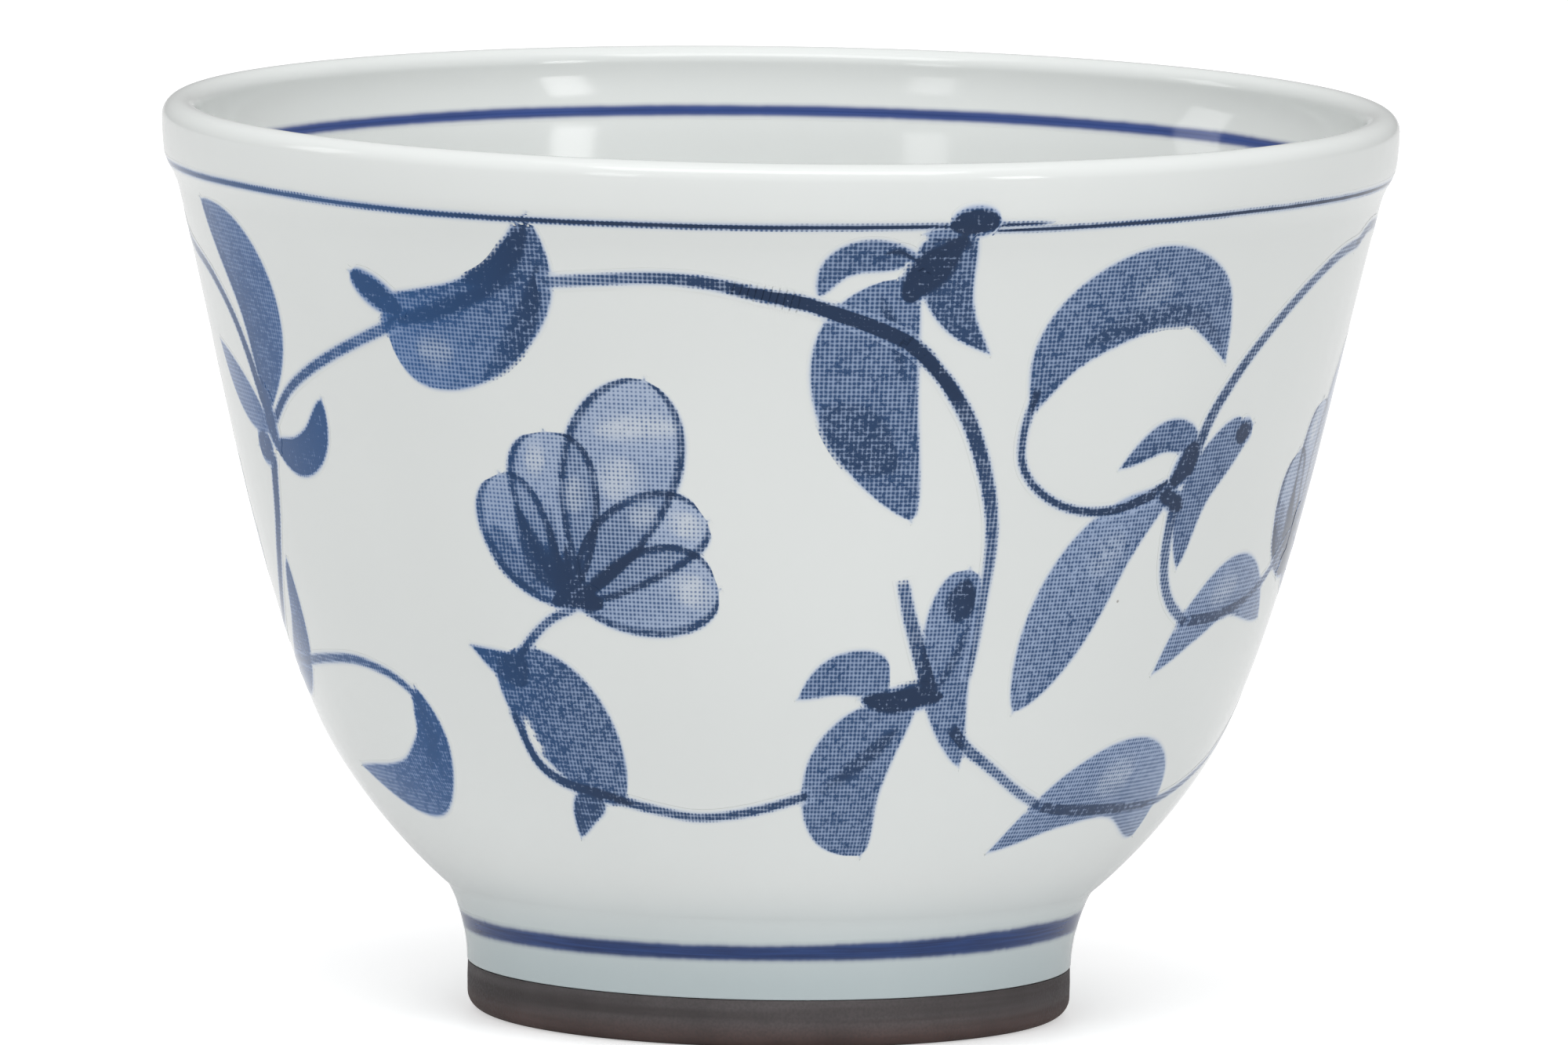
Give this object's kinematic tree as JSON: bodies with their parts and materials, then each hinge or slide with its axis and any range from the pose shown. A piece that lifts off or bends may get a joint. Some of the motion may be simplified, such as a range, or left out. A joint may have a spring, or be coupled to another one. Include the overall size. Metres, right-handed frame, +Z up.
{
  "type": "teacup",
  "caption": "Handleless porcelain teacup with a flared bowl, rounded lip and a turned ring foot with a bare standing edge.",
  "frame": {"origin": "middle of the circle the foot stands on, at the lowest point of the cup", "axes": "+Z up along the axis the cup was turned on, towards the mouth; the cup is round, so +X and +Y are free"},
  "size_m": [0.084, 0.084, 0.062],
  "materials": {
    "white_glaze": "clear cool-white porcelain glaze, glossy, with a cobalt vine print under it",
    "foot_glaze": "the same clear glaze, thicker and a little greener where it pools on the foot",
    "iron_dressed_clay": "unglazed fired clay under a thin iron wash, matte reddish dark brown"
  },
  "bodies": {
    "root": {"bowl": "white_glaze", "foot_ring": "foot_glaze", "foot_rim": "iron_dressed_clay"}
  },
  "joints": []
}
